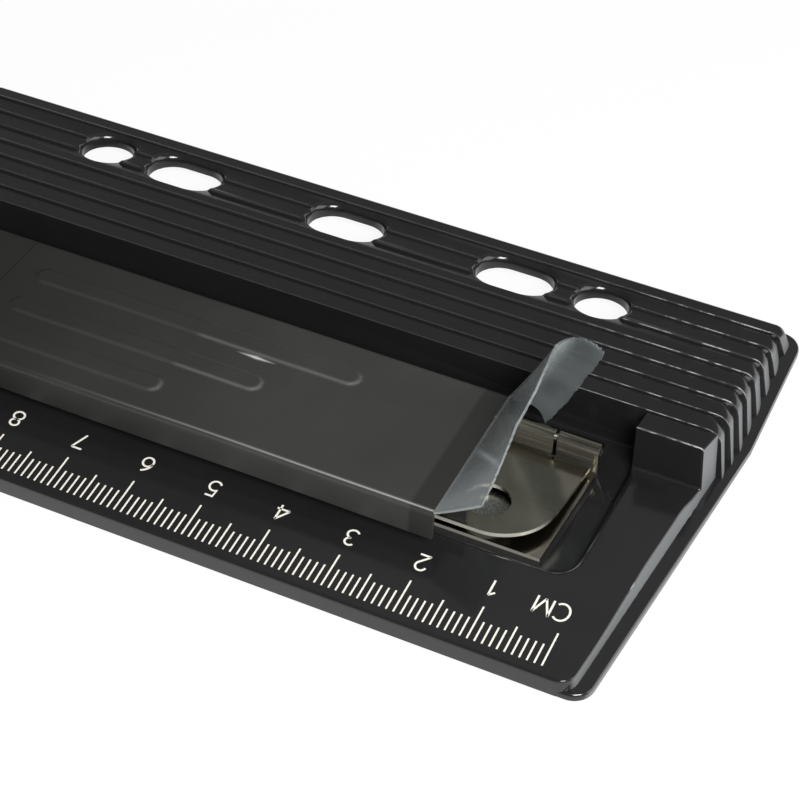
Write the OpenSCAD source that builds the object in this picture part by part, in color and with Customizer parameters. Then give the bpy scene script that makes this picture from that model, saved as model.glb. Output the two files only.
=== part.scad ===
// Flat two-hole pocket punch with a ruler edge, filing holes and a sprung press bar.
// Millimetres. Origin under the middle of the body, on the table. +X runs along the
// ruler to the right, -Y is the ruler side where paper goes in, +Z is up.

/* [Body] */
// Length of the body along its ruler edge
front_l = 125; // [120:0.5:140]
// Distance by which each end runs out further towards the rear
end_flare = 5; // [3:0.1:7]
// Depth of the body from the ruler edge to the rear edge
body_d = 71.5; // [69:0.5:80]
// Depth of the tapered part of the ends, from the ruler edge
taper_d = 48.1; // [40:0.1:60]
// Height of the ruler surface above the table
plate_h = 3.1; // [2.9:0.05:4]
// Width of the flange at the foot of the end walls
flange_w = 2; // [1:0.1:3]
// Width of the flange along the rear edge
flange_rear = 0.8; // [0.5:0.1:2]
// Thickness of the flange
flange_h = 1.2; // [0.8:0.1:1.8]
// Corner radius of the flange
corner_r = 3; // [2:0.1:5]
// Slope of the ruler plate's end walls from upright, in degrees
end_draft = 7; // [2:0.5:12]

/* [Ribbed block] */
// Distance from the ruler edge to the front wall of the block
block_front = 36.8; // [36.5:0.1:38]
// Height of the front edge of the block above the table
block_h = 10.5; // [10:0.1:14]
// Height of the rear edge of the block above the table
rear_h = 3.4; // [3.2:0.1:4.5]
// Number of finger ribs
rib_n = 9; // [5:1:9]
// Depth of the first rib, from the front wall
front_land = 4.6; // [4:0.1:5]
// Spacing of the other ribs
rib_pitch = 3.75; // [3:0.05:3.8]
// Height of the step up at the front of each rib
rib_step = 0.3; // [0.2:0.05:0.8]
// Depth of the flutes between the ribs on the ends
flute_d = 0.55; // [0.2:0.05:0.9]
// Radius that rounds each rib over the end of the block
rib_end_r = 1.1; // [0.8:0.1:2.2]
// Distance from the edge of the flange to the foot of the block's end walls
block_inset = 1.1; // [0.8:0.1:2]
// Distance from the widest end of the flange to the end of the block's top
block_top_inset = 3.1; // [2.5:0.1:5]
// Radius of the rear corners of the block
block_corner_r = 2.6; // [1.5:0.1:4]
// Thickness of the moulded roof and walls of the block
wall = 2; // [1.6:0.1:2.3]

/* [Filing holes] */
// Spacing of the two round filing holes
filing_pitch = 80; // [70:0.5:90]
// Diameter of the round filing holes
filing_d = 7.2; // [6:0.1:8]
// Spacing of the filing slots from the middle one
slot_pitch = 26.8; // [22:0.1:28]
// Length of the filing slots
slot_l = 10.8; // [9:0.1:12]
// Width of the filing slots
slot_w = 7.1; // [5:0.1:8]
// Distance from the rear edge to the line of filing holes
filing_rear = 8.4; // [7.5:0.1:11]

/* [Recess] */
// Distance from the ruler edge to the front rim of the recess
recess_front = 16.1; // [15.5:0.1:16.2]
// Distance from the ruler edge to the rear wall of the recess
recess_rear = 41.4; // [40.8:0.1:42]
// Length of the recess at its front rim
recess_front_l = 107.6; // [106:0.1:109]
// Length of the recess at its rear wall
recess_rear_l = 109; // [108:0.1:111]
// Height of the recess floor above the table
recess_floor = 1.6; // [1.4:0.05:1.65]
// Radius of the front corners of the recess
recess_r = 3; // [1:0.1:4]

/* [Hinge] */
// Distance from the ruler edge to the hinge axis
hinge_y = 35.6; // [35.4:0.05:35.8]
// Height of the hinge axis above the table
hinge_z = 5.45; // [5.3:0.05:5.8]
// Diameter of the hinge pin
pin_d = 1; // [0.8:0.05:1.1]
// Length of the hinge pin
pin_l = 101; // [100:0.1:103]
// Thickness of the sheet steel of both leaves
sheet = 0.6; // [0.5:0.05:0.65]
// Width of the end knuckles of the punch plate
end_knuckle = 5.9; // [4:0.1:7]
// Width of the outer knuckles of the die plate
outer_knuckle = 16.4; // [12:0.1:18]
// Width of the gap that holds each return spring
spring_gap = 8.4; // [7.8:0.1:9]
// Width of the inner knuckles of the die plate
inner_knuckle = 11; // [8:0.1:12]
// Gap between neighbouring knuckles
knuckle_gap = 0.5; // [0.3:0.05:0.8]
// Radial clearance of the pin in the knuckles
pin_clear = 0.03; // [0.02:0.01:0.06]

/* [Leaves] */
// Length of the punch plate at its front edge
punch_plate_front_l = 98.4; // [97:0.1:99]
// Distance from the ruler edge to the front edge of the punch plate
punch_plate_front = 17.7; // [17:0.1:18.5]
// Length of the die plate at its front edge
die_plate_front_l = 96.4; // [95:0.1:97]
// Length of the die plate at its rear edge
die_plate_rear_l = 99.4; // [98:0.1:100]
// Distance from the ruler edge to the front edge of the die plate
die_plate_front = 16.9; // [16.6:0.1:17.4]
// Radius of the front corners of the die plate
die_corner_r = 8; // [4:0.5:9]
// Gap between the two leaves when the bar is pressed down
closed_gap = 0.5; // [0.4:0.05:0.6]
// Angle by which the springs hold the press bar up
rest_open = 5; // [3:0.25:5.5]

/* [Punches] */
// Spacing of the two punches
punch_pitch = 80; // [79:0.5:81]
// Diameter of the punched hole and of the die holes
die_d = 6.1; // [5:0.1:6.5]
// Radial clearance between punch and die
die_clear = 0.15; // [0.12:0.01:0.25]
// Distance from the paper stop to the middle of the punched hole
hole_edge = 12; // [10:0.1:13]
// Height of the punches above the punch plate
punch_h = 0.85; // [0.7:0.05:0.9]
// Diameter of the riveted shank of a punch
shank_d = 4; // [3:0.1:4.5]
// Depth of the hollow ground into a punch's cutting face
punch_hollow = 0.35; // [0.2:0.05:0.5]

/* [Cover] */
// Length of the chip cover between its end flaps
cover_l = 72.8; // [68:0.1:76]
// Distance from the ruler edge to the front wall of the cover
cover_front = 12.5; // [12:0.1:14]
// Height of the top of the cover above the table, bar pressed down
cover_top = 8.2; // [8:0.1:8.4]
// Thickness of the cover sheet
film = 0.6; // [0.4:0.05:0.7]
// Height of the rear wall of the cover
cover_rear_h = 6.2; // [5:0.1:6.3]
// Bend radius along the top edges of the cover
cover_r = 1; // [0.8:0.1:1.5]
// Distance from the edges of the die plate to the legs that stand on it
leg_inset = 0.3; // [0.2:0.05:0.5]
// Length by which the front leg runs on past each end of the cover
leg_run = 2.7; // [1:0.1:3.2]
// Clearance around the cover where it passes other pieces
cover_clear = 0.3; // [0.25:0.05:0.4]
// Width of the raised grip ridges
ridge_w = 3.4; // [2.5:0.1:4]
// Height of the raised grip ridges
ridge_h = 0.5; // [0.3:0.05:0.7]
// Right ends of the three grip ridges, rear one first
ridge_ends = [17.7, 6.4, -5.4];
// Distances of the three grip ridges from the hinge axis
ridge_offsets = [4.7, 11.6, 17.8];
// Left end of the grip ridges
ridge_left = -31; // [-34:0.5:-20]

/* [Flaps] */
// Clearance of a flap's lower corner from the end of the recess as it swings
flap_clear = 0.5; // [0.4:0.05:1.5]
// Gap between a flap and the cover at the crease
crease_gap = 0.1; // [0.05:0.01:0.2]
// Length of a flap along the front edge
flap_front_l = 7.5; // [6:0.1:9]
// Length of a flap across its waist
flap_waist_l = 9.5; // [8:0.1:11]
// Distance from the rear bend to the waist
flap_waist = 8; // [5:0.1:10]
// Distance by which the rear wall runs on past a flap's top
nose_run = 4.3; // [3:0.1:5]
// Radius of the upper corner at the end of the rear wall
nose_r = 4.8; // [3:0.1:5]
// Radius of the lower corner at the end of the rear wall
nose_low_r = 1; // [0.5:0.1:1.2]
// Angle by which the right flap stands lifted
flap_lift = 60; // [20:1:75]

/* [Springs] */
// Wire diameter of the return springs
wire_d = 0.4; // [0.3:0.05:0.45]
// Turns of a return spring
spring_turns = 5; // [3:1:6]
// Spacing of the turns along the pin
turn_pitch = 0.85; // [0.82:0.01:1]
// Radial clearance of a spring around the pin
spring_clear = 0.25; // [0.2:0.05:0.3]
// Reach of a spring leg under the die plate
spring_reach = 6.5; // [4:0.5:8]
// Length of a spring's foot on the recess floor
spring_foot = 0.7; // [0.5:0.05:0.8]
// Clearance between a spring leg and what it bears on
leg_clear = 0.05; // [0.03:0.01:0.1]

/* [Rivets] */
// Diameter of the rivet heads
rivet_head_d = 3.2; // [2.4:0.1:3.6]
// Height of the rivet heads above the punch plate
rivet_head_h = 0.3; // [0.2:0.05:0.35]
// Diameter of the rivet shanks
rivet_d = 1.8; // [1.4:0.1:2]
// Spacing of the outer pair of rivets
rivet_pitch_outer = 64; // [56:0.5:66]
// Spacing of the inner pair of rivets
rivet_pitch_inner = 24; // [16:0.5:30]
// Depth of the rivet counterbores under the body
rivet_sink = 0.7; // [0.5:0.05:0.8]
// Radial clearance around the rivets
rivet_clear = 0.03; // [0.02:0.01:0.06]

/* [Hidden] */
$fn = 48;
// Overshoot that carries a cut clear of the face it opens
cut = 1;
// Share of a corner's radius by which its chord starts before the arc, so that they cross
chord_slack = 0.06;
// Least radius that a corner is worked out for
tiny = 0.001;
front_y = -body_d / 2;
rear_half = front_l / 2 + end_flare;
body_l = 2 * rear_half;
taper = end_flare / taper_d;
axis_y = front_y + hinge_y;
barrel_r = pin_d / 2 + sheet;
// Rib lines across the block and the wedge that they stand on
block_d = body_d - flange_rear - block_front;
wedge = (block_h - rear_h) / block_d;
rib_y = [for (i = [0:rib_n]) i == 0 ? 0 : min(block_d, front_land + (i - 1) * rib_pitch)];
rib_top = [for (y = rib_y) block_h - wedge * y];
rib_end = [for (i = [0:rib_n - 1]) i == rib_n - 1 ? block_d : rib_y[i + 1]];
// Levels of the two leaves with the bar pressed down
punch_top = recess_floor + sheet;
die_under = punch_top + closed_gap;
die_top = die_under + sheet;
stop_y = axis_y - barrel_r;
punch_y = stop_y - hole_edge;
leaf_rear_y = stop_y + sheet;
// Inner and outer faces of the cover, front and rear
cover_front_y = front_y + cover_front;
cover_rear_y = axis_y + barrel_r + cover_clear + film;
skirt_z = plate_h + cover_clear;
crease_x = cover_l / 2;
swing_r = recess_rear_l / 2 - flap_clear - crease_x;
flap_l = nose_low_r + sqrt(pow(swing_r - nose_low_r, 2) - pow(cover_rear_h - nose_low_r, 2));
// Knuckle edges from the right end towards the middle
knuckle_a = pin_l / 2 - end_knuckle;
knuckle_b = knuckle_a - knuckle_gap;
knuckle_c = knuckle_b - outer_knuckle;
knuckle_d = knuckle_c - spring_gap;
knuckle_e = knuckle_d - inner_knuckle;
knuckle_f = knuckle_e - knuckle_gap;
// Path of a return spring around the pin, as [x, y, z] from the hinge axis
coil_r = pin_d / 2 + spring_clear + wire_d / 2;
coil_rings = 8;
leg_drop = leg_clear + wire_d / 2;
heel_y = coil_r / 2;
spring_path = return_spring_path();

// Half length of the body at a distance from the ruler edge
function end_x(d) = min(rear_half, front_l / 2 + taper * d);

function unit(v) = v / norm(v);

// Ends of the chord under an arc of radius r in the corner p-c-q, and the arc's centre
function corner_arc(p, c, q, r) =
    let (
        a = unit(p - c),
        b = unit(q - c),
        half = acos(a * b) / 2,
        reach = r / tan(half) + r * chord_slack
    )
    [c + a * reach, c + b * reach, c + unit(a + b) * r / sin(half)];

// Convex outline with true arcs in the corners whose radius isn't zero
module rounded_outline(points, radii) {
    n = len(points);
    arcs = [
        for (i = [0:n - 1])
            corner_arc(points[(i + n - 1) % n], points[i], points[(i + 1) % n], max(radii[i], tiny))
    ];
    polygon([for (i = [0:n - 1]) each radii[i] > 0 ? [arcs[i][0], arcs[i][1]] : [points[i]]]);
    for (i = [0:n - 1])
        if (radii[i] > 0)
            translate(arcs[i][2])
                circle(radii[i]);
}

// Outline of the body in plan, drawn in from the flange's edge
module body_outline(side, front, rear, front_r, rear_r) {
    slant = side * sqrt(1 + taper * taper);
    kink_d = (rear_half - side - front_l / 2 + slant) / taper;
    near = [front_l / 2 + taper * front - slant, front_y + front];
    kink = [rear_half - side, front_y + kink_d];
    far = [rear_half - side, front_y + body_d - rear];
    flip = [[-1, 0], [0, 1]];
    rounded_outline(
        [flip * near, near, kink, far, flip * far, flip * kink],
        [front_r, front_r, 0, rear_r, rear_r, 0]
    );
}

// Half length of a rib at its foot, where the first one lines up with the ruler plate
function rib_half(i) = end_x(block_front + rib_y[i]) - (i == 0 ? flange_w : block_inset);

// Cross-section of one rib over the whole length, rounded over at both ends
module rib_section(half, top) {
    top_half = min(half, rear_half - block_top_inset);
    rounded_outline(
        [[-half, 0], [half, 0], [top_half, top], [-top_half, top]],
        [0, 0, rib_end_r, rib_end_r]
    );
}

// One finger rib, whose top falls towards the rear from its front edge
module rib(i) {
    depth = rib_end[i] - rib_y[i];
    next_top = block_h - wedge * rib_end[i] - rib_step;
    fall = atan((rib_top[i] - next_top) / depth);
    translate([0, front_y + block_front + rib_y[i], 0])
        intersection() {
            translate([0, 0, rib_top[i]])
                rotate([-fall, 0, 0])
                    translate([0, 2 * depth, -rib_top[i]])
                        rotate([90, 0, 0])
                            linear_extrude(3 * depth + rib_top[i])
                                rib_section(rib_half(i), rib_top[i]);
            translate([-rear_half, 0, 0])
                cube([body_l, depth, block_h + cut]);
        }
}

// Plan of the block, with a flute behind the front edge of each rib
module fluted_plan() {
    edge = [
        for (i = [0:rib_n - 1])
            each [
                [rib_half(i), front_y + block_front + rib_y[i]],
                [rib_half(i) - flute_d, front_y + block_front + rib_end[i]]
            ]
    ];
    last = len(edge) - 1;
    polygon(concat(
        [for (p = edge) p],
        [for (i = [0:last]) [-edge[last - i][0], edge[last - i][1]]]
    ));
}

module ribbed_block() {
    intersection() {
        union()
            for (i = [0:rib_n - 1])
                rib(i);
        linear_extrude(block_h + cut)
            intersection() {
                fluted_plan();
                body_outline(block_inset, flange_w, flange_rear, 0, block_corner_r);
            }
    }
}

// Slanted planes that draw the end walls of the ruler plate in towards the top
module end_wall_cuts() {
    for (side = [0, 1])
        mirror([side, 0, 0])
            translate([end_x(0) - flange_w * sqrt(1 + taper * taper), front_y, flange_h])
                rotate([0, 0, -atan(taper)])
                    rotate([0, -end_draft, 0])
                        translate([0, -cut, 0])
                            cube([body_l, body_d, block_h]);
}

module recess_plan() {
    near = [recess_front_l / 2, front_y + recess_front];
    far = [recess_rear_l / 2, front_y + recess_rear];
    rounded_outline(
        [[-near[0], near[1]], near, far, [-far[0], far[1]]],
        [recess_r, recess_r, 0, 0]
    );
}

// Hollow under the ribbed block, with a roof that follows the wedge
module block_hollow() {
    near_d = recess_rear + wall - block_front;
    far_d = block_d - wall;
    half = rear_half - block_top_inset - flute_d - wall;
    roof = wall + rib_step;
    translate([-half, front_y + block_front, 0])
        rotate([90, 0, 90])
            linear_extrude(2 * half)
                polygon([
                    [near_d, -cut], [far_d, -cut],
                    [far_d, block_h - wedge * far_d - roof], [near_d, block_h - wedge * near_d - roof]
                ]);
}

module filing_plan() {
    for (x = [-filing_pitch / 2, filing_pitch / 2])
        translate([x, 0])
            circle(filing_d / 2);
    straight = slot_l - slot_w;
    for (x = [-slot_pitch, 0, slot_pitch])
        translate([x, 0]) {
            square([straight, slot_w], center = true);
            for (end = [-straight / 2, straight / 2])
                translate([end, 0])
                    circle(slot_w / 2);
        }
}

// Places of the rivets that hold the punch plate
module at_rivets() {
    rivet_y = punch_y + hole_edge / 2;
    for (x = [-rivet_pitch_outer / 2, -rivet_pitch_inner / 2, rivet_pitch_inner / 2, rivet_pitch_outer / 2])
        translate([x, rivet_y, 0])
            children();
}

// One moulding of black plastic: ruler plate, flange, recess and ribbed filing block
module base_body() {
    color([0.09, 0.09, 0.1])
        difference() {
            union() {
                linear_extrude(flange_h)
                    body_outline(0, 0, 0, corner_r, corner_r);
                difference() {
                    linear_extrude(plate_h)
                        body_outline(flange_w, 0, flange_rear, corner_r, block_corner_r);
                    end_wall_cuts();
                }
                ribbed_block();
            }
            translate([0, 0, recess_floor])
                linear_extrude(block_h)
                    recess_plan();
            block_hollow();
            translate([0, front_y + body_d - filing_rear, -cut])
                linear_extrude(block_h + 2 * cut)
                    filing_plan();
            at_rivets() {
                translate([0, 0, -cut])
                    cylinder(d = rivet_d + 2 * rivet_clear, h = recess_floor + 2 * cut);
                translate([0, 0, -cut])
                    cylinder(d = rivet_head_d + 2 * rivet_clear, h = rivet_sink + cut);
            }
        }
}

// Rolled knuckle with the strap that carries it, between two places along the pin
module knuckle(x0, x1, strap_z) {
    width = x1 - x0;
    translate([x0, axis_y, hinge_z])
        rotate([90, 0, 90])
            linear_extrude(width)
                difference() {
                    union() {
                        circle(barrel_r);
                        translate([-barrel_r, strap_z - hinge_z])
                            square([sheet, hinge_z - strap_z]);
                    }
                    circle(pin_d / 2 + pin_clear);
                    translate([sheet - barrel_r, -2 * barrel_r])
                        square([barrel_r - sheet, 2 * barrel_r]);
                }
}

// Both sides of a symmetrical set of knuckles
module knuckle_pair(x0, x1, strap_z) {
    for (side = [0, 1])
        mirror([side, 0, 0])
            knuckle(x0, x1, strap_z);
}

// Lower leaf of nickel-plated steel, riveted into the recess
module punch_plate() {
    rear_half_l = pin_l / 2;
    near = [punch_plate_front_l / 2, front_y + punch_plate_front];
    color([0.62, 0.6, 0.55])
        difference() {
            union() {
                translate([0, 0, recess_floor])
                    linear_extrude(sheet)
                        polygon([
                            [-near[0], near[1]], near, [rear_half_l, leaf_rear_y], [-rear_half_l, leaf_rear_y]
                        ]);
                knuckle_pair(knuckle_a, pin_l / 2, recess_floor);
                knuckle(-knuckle_f, knuckle_f, recess_floor);
            }
            for (x = [-punch_pitch / 2, punch_pitch / 2])
                translate([x, punch_y, recess_floor - cut])
                    cylinder(d = shank_d + 2 * rivet_clear, h = sheet + 2 * cut);
            at_rivets()
                translate([0, 0, recess_floor - cut])
                    cylinder(d = rivet_d + 2 * rivet_clear, h = sheet + 2 * cut);
        }
}

module plate_rivets() {
    color([0.7, 0.69, 0.66])
        at_rivets() {
            translate([0, 0, rivet_sink])
                cylinder(d = rivet_d, h = punch_top - rivet_sink);
            translate([0, 0, rivet_sink - rivet_head_h])
                cylinder(d = rivet_head_d, h = rivet_head_h);
            translate([0, 0, punch_top])
                cylinder(d = rivet_head_d, h = rivet_head_h);
        }
}

// Hardened pin with a hollow-ground face, riveted into the punch plate
module punch(x) {
    cutter_d = die_d - 2 * die_clear;
    grind_r = (cutter_d * cutter_d / 4 + punch_hollow * punch_hollow) / (2 * punch_hollow);
    color([0.5, 0.5, 0.5])
        translate([x, punch_y, 0])
            difference() {
                union() {
                    translate([0, 0, recess_floor])
                        cylinder(d = shank_d, h = sheet);
                    translate([0, 0, punch_top])
                        cylinder(d = cutter_d, h = punch_h);
                }
                translate([0, 0, punch_top + punch_h - punch_hollow + grind_r])
                    rotate([90, 0, 0])
                        cylinder(r = grind_r, h = cutter_d + 2 * cut, center = true, $fn = 96);
            }
}

module left_punch() { punch(-punch_pitch / 2); }

module right_punch() { punch(punch_pitch / 2); }

module hinge_pin() {
    color([0.66, 0.65, 0.62])
        translate([-pin_l / 2, axis_y, hinge_z])
            rotate([0, 90, 0])
                cylinder(d = pin_d, h = pin_l);
}

// Height under the lifted die plate at a distance in front of the hinge axis
function lifted_under(d) = (die_under - hinge_z) / cos(rest_open) + d * tan(rest_open);

// Leg under the die plate, coil around the pin, and a foot that stands on the recess floor
function return_spring_path() =
    let (
        steps = spring_turns * coil_rings + coil_rings / 2,
        width = turn_pitch * steps / coil_rings,
        floor_z = recess_floor - hinge_z + leg_drop
    )
    concat(
        [[0, -spring_reach, lifted_under(spring_reach) - leg_drop / cos(rest_open)]],
        [[0, -coil_r, lifted_under(coil_r) - leg_drop / cos(rest_open)]],
        [
            for (k = [0:steps])
                let (turn = k * 360 / coil_rings)
                [turn_pitch * k / coil_rings, -coil_r * cos(turn), coil_r * sin(turn)]
        ],
        [[width, heel_y, floor_z]],
        [[width, heel_y - spring_foot, floor_z]]
    );

// Least clear distance between stretches of the spring at least half a turn apart
function spring_self_gap(p) =
    min([
        for (i = [0:len(p) - 1])
            for (j = [i + coil_rings / 2 + 1:1:len(p) - 1])
                norm(p[i] - p[j])
    ]) - wire_d;

// Six-sided wire swept along the path as one closed tube
module wire_tube(path, diameter) {
    n = len(path);
    sides = 6;
    function heading(i) = unit(path[min(i + 1, n - 1)] - path[max(i - 1, 0)]);
    function ring(i) =
        let (
            ahead = heading(i),
            across = unit(cross(ahead, [1, 0, 0])),
            up = cross(ahead, across)
        )
        [
            for (s = [0:sides - 1])
                path[i] + diameter / 2 * (across * cos(s * 360 / sides) + up * sin(s * 360 / sides))
        ];
    points = [for (i = [0:n - 1]) each ring(i)];
    skin = [
        for (i = [0:n - 2])
            for (s = [0:sides - 1])
                let (
                    a = i * sides + s,
                    b = i * sides + (s + 1) % sides,
                    c = a + sides,
                    d = b + sides
                )
                each [[a, c, b], [b, c, d]]
    ];
    start_cap = [for (s = [1:sides - 2]) [0, s, s + 1]];
    end_base = (n - 1) * sides;
    end_cap = [for (s = [1:sides - 2]) [end_base, end_base + s + 1, end_base + s]];
    polyhedron(points, concat(skin, start_cap, end_cap));
}

module return_spring() {
    coil_l = turn_pitch * (spring_turns + 0.5);
    color([0.6, 0.6, 0.58])
        translate([(knuckle_c + knuckle_d - coil_l) / 2, axis_y, hinge_z])
            wire_tube(spring_path, wire_d);
}

module left_return_spring() { mirror([1, 0, 0]) return_spring(); }

module right_return_spring() { return_spring(); }

// The press bar is drawn pressed down and lifted about the hinge to where the springs hold it
module lifted() {
    translate([0, axis_y, hinge_z])
        rotate([-rest_open, 0, 0])
            translate([0, -axis_y, -hinge_z])
                children();
}

// Upper leaf with the die holes, whose front corners are rounded
module die_plate() {
    rear_y = stop_y - knuckle_gap;
    near = [die_plate_front_l / 2, front_y + die_plate_front];
    far = [die_plate_rear_l / 2, rear_y];
    color([0.64, 0.62, 0.57])
        lifted() {
            difference() {
                translate([0, 0, die_under])
                    linear_extrude(sheet) {
                        rounded_outline(
                            [[-near[0], near[1]], near, far, [-far[0], far[1]]],
                            [die_corner_r, die_corner_r, 0, 0]
                        );
                        for (side = [-1, 1])
                            for (span = [[knuckle_c, knuckle_b], [knuckle_e, knuckle_d]])
                                translate([side * (span[0] + span[1]) / 2, (rear_y - cut + leaf_rear_y) / 2])
                                    square([span[1] - span[0], leaf_rear_y - rear_y + cut], center = true);
                    }
                for (x = [-punch_pitch / 2, punch_pitch / 2])
                    translate([x, punch_y, die_under - cut])
                        cylinder(d = die_d, h = sheet + 2 * cut);
            }
            knuckle_pair(knuckle_c, knuckle_b, die_under);
            knuckle_pair(knuckle_e, knuckle_d, die_under);
        }
}

// Profile of the bent cover sheet across the press bar
module cover_profile(front_z, rear_h) {
    depth = cover_rear_y - cover_front_y;
    inner_r = cover_r - film;
    difference() {
        rounded_outline(
            [
                [cover_front_y, front_z], [cover_rear_y, front_z],
                [cover_rear_y, cover_top], [cover_front_y, cover_top]
            ],
            [0, 0, cover_r, cover_r]
        );
        rounded_outline(
            [
                [cover_front_y + film, front_z - cut], [cover_rear_y - film, front_z - cut],
                [cover_rear_y - film, cover_top - film], [cover_front_y + film, cover_top - film]
            ],
            [0, 0, inner_r, inner_r]
        );
        translate([cover_rear_y - depth / 2, cover_top - rear_h - depth])
            square([depth, depth]);
        translate([cover_front_y - depth / 2, skirt_z - depth])
            square([depth, depth]);
    }
}

// Raised grip ridge with round ends
module grip_ridge(x0, x1, y) {
    translate([0, y, cover_top - film / 2])
        linear_extrude(ridge_h + film / 2) {
            translate([x0, -ridge_w / 2])
                square([x1 - x0, ridge_w]);
            for (x = [x0, x1])
                translate([x, 0])
                    circle(ridge_w / 2);
        }
}

// Channel of smoky plastic sheet that catches the chips and takes the finger pressure
module chip_cover() {
    low_z = min(skirt_z, cover_top - cover_rear_h);
    leg_h = cover_top - film / 2 - die_top;
    run_l = cover_l + 2 * leg_run;
    front_leg_y = front_y + die_plate_front + leg_inset;
    rear_leg_y = stop_y - knuckle_gap - leg_inset - film;
    color([0.3, 0.31, 0.31, 0.85])
        lifted() {
            translate([-crease_x, 0, 0])
                rotate([90, 0, 90])
                    linear_extrude(cover_l)
                        cover_profile(low_z, cover_rear_h);
            for (i = [0:len(ridge_ends) - 1])
                grip_ridge(ridge_left, ridge_ends[i] - ridge_w / 2, axis_y - ridge_offsets[i]);
            for (y = [front_leg_y, rear_leg_y])
                translate([-crease_x, y, die_top])
                    cube([cover_l, film, leg_h]);
            translate([-run_l / 2, front_leg_y, die_top])
                cube([run_l, film, cover_top - film - cover_clear - die_top]);
        }
}

// End of the cover sheet with its rear wall, closed, on the right-hand side
module closed_flap() {
    bend_y = cover_rear_y - cover_r;
    low_z = cover_top - cover_rear_h;
    nose_x = crease_x + flap_l;
    intersection() {
        translate([crease_x + crease_gap, 0, 0])
            rotate([90, 0, 90])
                linear_extrude(flap_l)
                    difference() {
                        cover_profile(low_z, cover_rear_h);
                        translate([cover_front_y - cut, low_z - cut])
                            square([film + 2 * cut, cover_rear_h - film + cut]);
                    }
        translate([0, 0, low_z - cut])
            linear_extrude(cover_rear_h + 2 * cut)
                polygon([
                    [crease_x, cover_front_y], [crease_x + flap_front_l, cover_front_y],
                    [crease_x + flap_waist_l, bend_y - flap_waist], [nose_x - nose_run, bend_y - film],
                    [nose_x, bend_y - film], [nose_x, cover_rear_y + cut], [crease_x, cover_rear_y + cut]
                ]);
        translate([0, cover_rear_y + cut, 0])
            rotate([90, 0, 0])
                linear_extrude(cover_rear_y - cover_front_y + 2 * cut)
                    rounded_outline(
                        [
                            [crease_x, low_z], [nose_x, low_z],
                            [nose_x, cover_top + film], [crease_x, cover_top + film]
                        ],
                        [0, nose_low_r, nose_r, 0]
                    );
    }
}

module left_flap() {
    color([0.45, 0.47, 0.47, 0.7])
        lifted()
            mirror([1, 0, 0])
                closed_flap();
}

// Lifted about the crease, where the sheet bends
module right_flap() {
    color([0.45, 0.47, 0.47, 0.7])
        lifted()
            translate([crease_x, 0, cover_top])
                rotate([0, -flap_lift, 0])
                    translate([-crease_x, 0, -cover_top])
                        closed_flap();
}

echo(least_gap_between_spring_turns = spring_self_gap(spring_path));

base_body();
punch_plate();
plate_rivets();
left_punch();
right_punch();
hinge_pin();
left_return_spring();
right_return_spring();
die_plate();
chip_cover();
left_flap();
right_flap();
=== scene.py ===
import bmesh
import bpy
import numpy as np
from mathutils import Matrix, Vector


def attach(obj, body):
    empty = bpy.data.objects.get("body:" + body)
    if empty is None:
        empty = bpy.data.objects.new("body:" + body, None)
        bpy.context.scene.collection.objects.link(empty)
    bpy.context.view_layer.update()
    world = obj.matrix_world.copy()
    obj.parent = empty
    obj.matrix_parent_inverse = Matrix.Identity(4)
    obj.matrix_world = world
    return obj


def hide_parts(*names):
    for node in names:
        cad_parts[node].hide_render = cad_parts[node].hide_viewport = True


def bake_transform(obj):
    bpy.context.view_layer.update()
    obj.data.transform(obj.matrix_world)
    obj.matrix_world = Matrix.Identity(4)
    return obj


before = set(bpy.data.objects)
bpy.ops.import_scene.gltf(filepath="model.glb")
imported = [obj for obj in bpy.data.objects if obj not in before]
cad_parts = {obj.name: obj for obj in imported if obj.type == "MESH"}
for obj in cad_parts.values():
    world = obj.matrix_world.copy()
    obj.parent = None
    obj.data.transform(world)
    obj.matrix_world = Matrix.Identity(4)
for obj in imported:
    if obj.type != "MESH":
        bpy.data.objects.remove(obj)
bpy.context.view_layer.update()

# Base body: one injection moulding in gloss black plastic, with a ruler plate, a foot flange, a recess
# for the punch and a wedge that falls towards the rear in ribs, each with its front edge raised. All edges
# are softened by the mould, and the ribs wrap over the ends of the wedge as flutes.
MM = 0.001
FRONT_Y, REAR_Y = -35.75, 35.75
FRONT_HALF, REAR_HALF, TAPER_DEPTH = 62.5, 67.5, 48.1
PLATE_TOP, PLATE_EDGE, PLATE_CORNER = 3.1, 0.4, 2.2
FLANGE_TOP, FLANGE_WIDTH, FLANGE_EDGE, FLANGE_CORNER = 1.2, 2.0, 0.45, 3.0
FLANGE_FRONT, FOOT_CHAMFER = FRONT_Y + 0.05, 0.12
DRAFT, SPLAY = 0.06, 0.34
SPLAY_FROM, SPLAY_RUN, SPLAY_FADE_FROM, SPLAY_FADE_RUN = 6.0, 17.0, -4.0, 4.5
BLOCK_FRONT, BLOCK_REAR = 1.05, 34.95
BLOCK_TOP, BLOCK_END_TOP = 10.5, 3.4
BLOCK_INSET, BLOCK_TOP_HALF, BLOCK_FOOT = 0.95, 64.6, 0.35
REAR_EDGE, REAR_CORNER = 0.9, 1.9
RIB_LAND, RIB_PITCH, RIB_STEP, RIB_COUNT = 4.6, 3.75, 0.3, 9
RIB_EDGE, RIB_SETBACK, RIB_GAP = 0.08, 0.02, 0.03
RIB_END, RIB_END_SHARE, FLUTE_DEPTH = 2.2, 0.3, 1.0
RIB_ARC, LIP_FORWARD, LIP_DROP = 72, 0.01, 0.06
FIRST_EDGE, FIRST_END, FIRST_FLARE = 0.15, 0.6, 0.45
LEAN, LEAN_FROM, LEAN_RUN = 0.4, 4.0, 14.0
UPRIGHT_FROM, UPRIGHT_RUN = 30.0, 4.0
FILING_X, FILING_Y, FILING_R, FILING_RIM = 40.0, 27.0, 3.9, 1.0
SLOT_X, SLOT_LENGTH, SLOT_R = 26.8, 11.6, 3.9
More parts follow.
